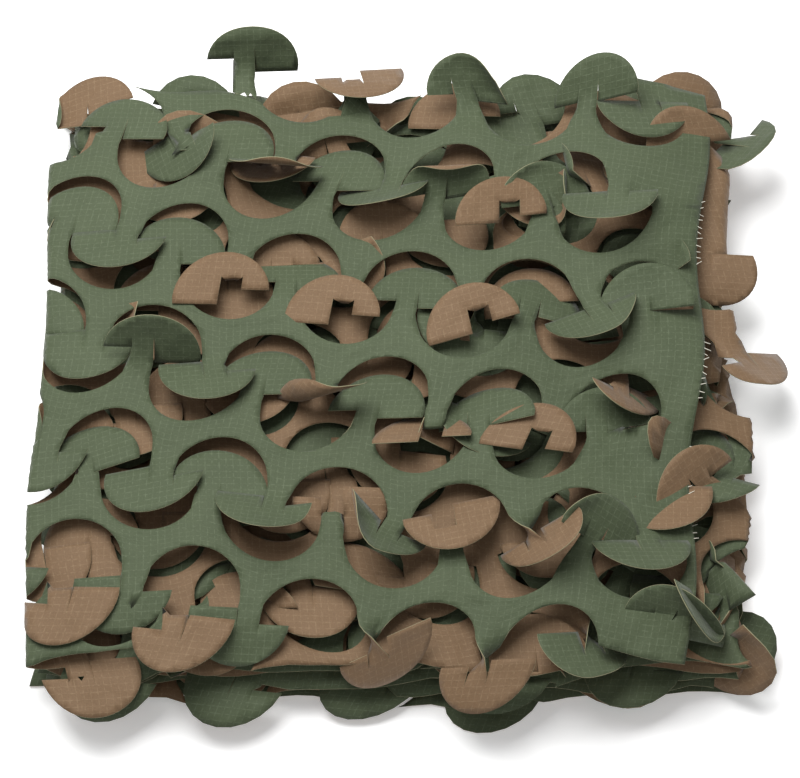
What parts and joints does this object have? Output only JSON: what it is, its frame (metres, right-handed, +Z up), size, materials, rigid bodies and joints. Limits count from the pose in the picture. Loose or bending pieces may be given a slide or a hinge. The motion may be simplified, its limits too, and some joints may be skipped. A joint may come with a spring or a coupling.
{
  "type": "folded camouflage net",
  "caption": "Die-cut ripstop camouflage net, green on one face and brown on the other, folded back and forth into a flat square bundle with loose curling leaves.",
  "frame": {"origin": "centre of the bundle's footprint, on the surface it lies on", "axes": "+X to the right along the bundle's longest side, towards its loose selvedge; +Y to the back; +Z up"},
  "size_m": [0.551, 0.5336, 0.1285],
  "materials": {
    "net_cloth": "matt printed ripstop cloth, green on the face and brown on the back"
  },
  "bodies": {
    "root": {"net": "net_cloth"}
  },
  "joints": []
}
